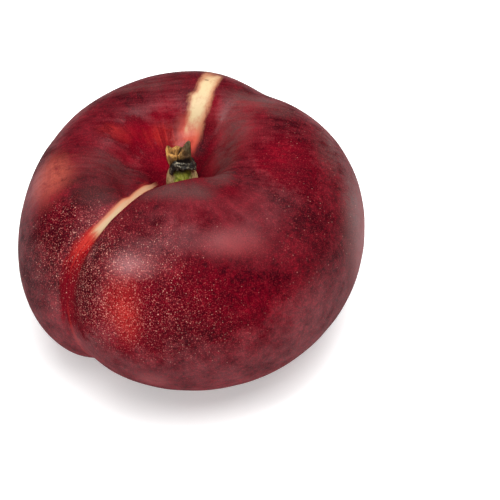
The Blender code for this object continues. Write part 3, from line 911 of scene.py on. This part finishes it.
# The dry scales round the neck, as (azimuth, width, length, droop) in degrees and mm
DRY_SCALES = (
    (-149, 2.9, 1.6, 3.6), (-118, 1.8, 0.9, 2.0), (-88, 1.8, 0.6, 0.3), (-62, 1.8, 0.7, 0.1),
    (-34, 2.0, 1.1, 0.9), (-10, 2.0, 1.4, 1.3), (22, 2.0, 0.8, 1.8), (60, 2.0, 0.6, 1.4),
    (100, 2.4, 0.8, 1.2), (145, 2.0, 0.7, 1.4), (-178, 2.0, 0.7, 2.0),
)


def ring_height(ahead, beside):
    """Height of the leaning, arched ring at a place, over its middle, in mm."""
    return SCALES_TILT[0] * ahead + SCALES_TILT[1] * beside - SCALES_ARCH * ahead**2


def bend_scale(scale, azimuth, width, length, droop):
    """Bend a flat grid into a lumpy scale that stands out from the neck, tapers and droops."""
    points = read_points(scale.data)
    for point in points:
        side, out = point[0] * 2.0, point[1] + 0.5
        lump = noise.noise(Vector((side * 1.3, out * 1.3, azimuth * 0.37)))
        half = 0.5 * width * (1 - 0.7 * out**2.2) * (1 + 0.2 * lump)
        radius = SCALES_START + length * 0.72 * math.sin(0.5 * math.pi * out**0.9) + 0.2 * lump
        turn = math.radians(azimuth) + side * half / radius
        ahead, beside = radius * math.cos(turn), radius * math.sin(turn)
        height = 0.75 - droop * out**1.6 - 0.2 * side * side + 0.35 * lump
        height += ring_height(ahead, beside)
        point[:] = (ahead, beside, height)
    write_points(scale.data, (points + np.array(SCALES_MIDDLE)) * MM)


def bend_collar(collar):
    """Lean the collar as the ring and make it lumpy."""
    points = read_points(collar.data)
    noise.seed_set(COLLAR_SEED)
    for point in points:
        off = Vector(point) / MM - SCALES_MIDDLE
        point[2] += ring_height(off[0], off[1]) * MM
        point += 0.3 * MM * np.array(noise.noise_vector(off / 0.9))
    write_points(collar.data, points)


def scales_material(look):
    """Nearly black dry scales with paler patches, partly worn edges and partly painted highlights."""
    board = Board(bpy.data.materials.new("peach_scales"))
    place = board.objects()
    blots = board.noise(place, 0.8, 3.0, 0.6)
    fine = board.noise(place, 0.22, 2.0, 0.6)
    colour = board.mix(board.step(blots, 0.4, 0.62), look.black, look.dry)
    # Paler patches, partly worn edges and partly painted highlights
    colour = board.mix(board.step(blots + (fine - 0.5) * 0.5, 0.55, 0.66) * 0.9, colour, look.edge)
    return board.finish({
        "Base Color": colour,
        "Roughness": 0.4 + fine * 0.3,
        "Normal": board.bump(fine + blots * 2.0, 0.16 * MM),
    })


class PEACH_OT_bud_scales(bpy.types.Operator):
    """Model the ring of dry bud scales round the stem's neck"""
    bl_idname = "peach.bud_scales"
    bl_label = "Bud scales"

    def execute(self, context):
        look = context.scene.peach_scales
        deselect()
        bpy.ops.mesh.primitive_grid_add(x_subdivisions=8, y_subdivisions=8, size=1.0, location=(0, 0, 0))
        flat = context.object
        pieces = []
        for shape in DRY_SCALES:
            scale = flat.copy()
            scale.data = flat.data.copy()
            context.scene.collection.objects.link(scale)
            bend_scale(scale, *shape)
            make_active(scale)
            shell = scale.modifiers.new("shell", "SOLIDIFY")
            shell.thickness = look.thickness
            shell.offset = 0.0
            bpy.ops.object.modifier_apply(modifier=shell.name)
            subdivide(scale, 1)
            pieces.append(scale)
        bpy.data.objects.remove(flat)
        deselect()
        bpy.ops.mesh.primitive_torus_add(major_segments=72, minor_segments=16,
                                         major_radius=COLLAR_RADIUS * MM,
                                         minor_radius=COLLAR_THICKNESS * MM, location=SCALES_MIDDLE * MM)
        collar = context.object
        bpy.ops.object.transform_apply(location=True, rotation=True, scale=True)
        bend_collar(collar)
        bpy.ops.object.shade_smooth()
        for piece in pieces:
            piece.select_set(True)
        bpy.ops.object.join()
        collar.name = "bud_scales_dry"
        bpy.ops.object.mode_set(mode="EDIT")
        bpy.ops.mesh.select_all(action="SELECT")
        bpy.ops.mesh.normals_make_consistent(inside=False)
        bpy.ops.object.mode_set(mode="OBJECT")
        collar.data.materials.append(scales_material(look))
        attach(collar, "root")
        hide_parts("bud_scales")
        return {"FINISHED"}


# Camera, floor and lights

CAMERA_TARGET = Vector((12.125, 1.185, 15.606)) * MM
SENSOR_WIDTH = 36.0  # mm
FOCAL_SHARE = 4.7  # focal length over the picture's width
FLOOR_RADIUS = 2.5  # m
DARK_SIDE = (0.574, -0.819, 0.0)  # direction of the room's dark side


def area_light(name, place, aim, size, power, gloss=True, diffuse=True, turn=0.0):
    """A soft rectangular light at a place, facing another, with a power in watts."""
    data = bpy.data.lights.new(name, "AREA")
    data.shape = "RECTANGLE"
    data.size, data.size_y = size
    data.energy = power
    light = bpy.data.objects.new(name, data)
    light.location = place
    facing = (Vector(place) - Vector(aim)).to_track_quat("Z", "Y").to_matrix()
    light.rotation_euler = (facing @ Matrix.Rotation(turn, 3, "Z")).to_euler()
    light.visible_glossy = gloss
    light.visible_diffuse = diffuse
    light.visible_camera = False
    bpy.context.scene.collection.objects.link(light)


def studio_world():
    """White to the camera. To the rest a pale room, with its dark side to the right of the camera."""
    board = Board(bpy.data.worlds.new("studio"), "Background")
    toward = board.vector("DOT_PRODUCT", board.add("ShaderNodeTexCoord", {}, {}, "Generated"), DARK_SIDE)
    wall = board.add("ShaderNodeMapRange", {"interpolation_type": "SMOOTHSTEP"}, {
        "Value": toward, "From Min": 0.4, "From Max": 0.8, "To Min": 0.42, "To Max": 0.03})
    seen = board.add("ShaderNodeLightPath", {}, {}, "Is Camera Ray")
    return board.finish({"Color": (1.0, 1.0, 1.0), "Strength": seen.most(wall)})


class PEACH_OT_stage(bpy.types.Operator):
    """Set up the camera, the floor and the lights"""
    bl_idname = "peach.stage"
    bl_label = "Stage"

    def execute(self, context):
        look = context.scene.peach_stage
        data = bpy.data.cameras.new("camera")
        data.sensor_width = SENSOR_WIDTH
        data.lens = SENSOR_WIDTH * FOCAL_SHARE
        data.clip_start = 0.01
        camera = bpy.data.objects.new("camera", data)
        away = Vector((0.0, -math.cos(look.elevation), math.sin(look.elevation)))
        camera.location = CAMERA_TARGET + look.distance * away
        camera.rotation_euler = (math.pi / 2 - look.elevation, 0.0, 0.0)
        context.scene.collection.objects.link(camera)
        context.scene.camera = camera
        deselect()
        bpy.ops.mesh.primitive_circle_add(vertices=96, radius=FLOOR_RADIUS, fill_type="NGON",
                                          location=(0, 0, 0))
        floor = context.object
        floor.name = "floor"
        board = Board(bpy.data.materials.new("floor"))
        floor.data.materials.append(board.finish({
            "Base Color": look.floor,
            "Roughness": 0.9,
            "Specular IOR Level": 0.0,
            "Emission Color": (1.0, 1.0, 1.0),
            "Emission Strength": look.lift,
        }))
        context.scene.world = studio_world()
        area_light("overhead_strip", (0.0, 0.0, 0.65), (0.0, 0.0, 0.0), (0.95, 0.2), 2.3,
                   turn=math.radians(41.0))
        area_light("side_box", (-0.33, -0.33, 0.66), (0.0, 0.0, 0.03), (0.27, 0.27), 2.3, diffuse=False)
        area_light("key", (0.1, 0.05, 0.85), (0.0, 0.0, 0.0), (0.9, 0.9), 8.8, gloss=False)
        area_light("front_fill", (-0.1, -0.75, 0.35), (0.0, 0.0, 0.03), (0.9, 0.5), 2.2, gloss=False)
        context.scene.view_settings.view_transform = "Standard"
        return {"FINISHED"}


class PEACH_PT_panel(bpy.types.Panel):
    """The peach's pieces in the 3D view's sidebar"""
    bl_label = "Flat peach"
    bl_space_type = "VIEW_3D"
    bl_region_type = "UI"
    bl_category = "Peach"

    def draw(self, context):
        for group, step in PARTS:
            box = self.layout.box()
            settings = getattr(context.scene, group)
            for name in settings.__annotations__:
                box.prop(settings, name)
            box.operator(step)


GROUPS = {"peach_skin": PeachSkin, "peach_stem": PeachStem, "peach_scales": PeachScales,
          "peach_stage": PeachStage}
PARTS = (("peach_skin", "peach.fruit"), ("peach_stem", "peach.stem"), ("peach_scales", "peach.bud_scales"),
         ("peach_stage", "peach.stage"))
CLASSES = (*GROUPS.values(), PEACH_OT_fruit, PEACH_OT_stem, PEACH_OT_bud_scales, PEACH_OT_stage,
           PEACH_PT_panel)


def register():
    for kind in CLASSES:
        bpy.utils.register_class(kind)
    for name, group in GROUPS.items():
        setattr(bpy.types.Scene, name, bpy.props.PointerProperty(type=group))


def unregister():
    for name in GROUPS:
        delattr(bpy.types.Scene, name)
    for kind in reversed(CLASSES):
        bpy.utils.unregister_class(kind)


def main():
    register()
    bpy.ops.peach.fruit()
    bpy.ops.peach.stem()
    bpy.ops.peach.bud_scales()
    bpy.ops.peach.stage()


if __name__ == "__main__":
    main()
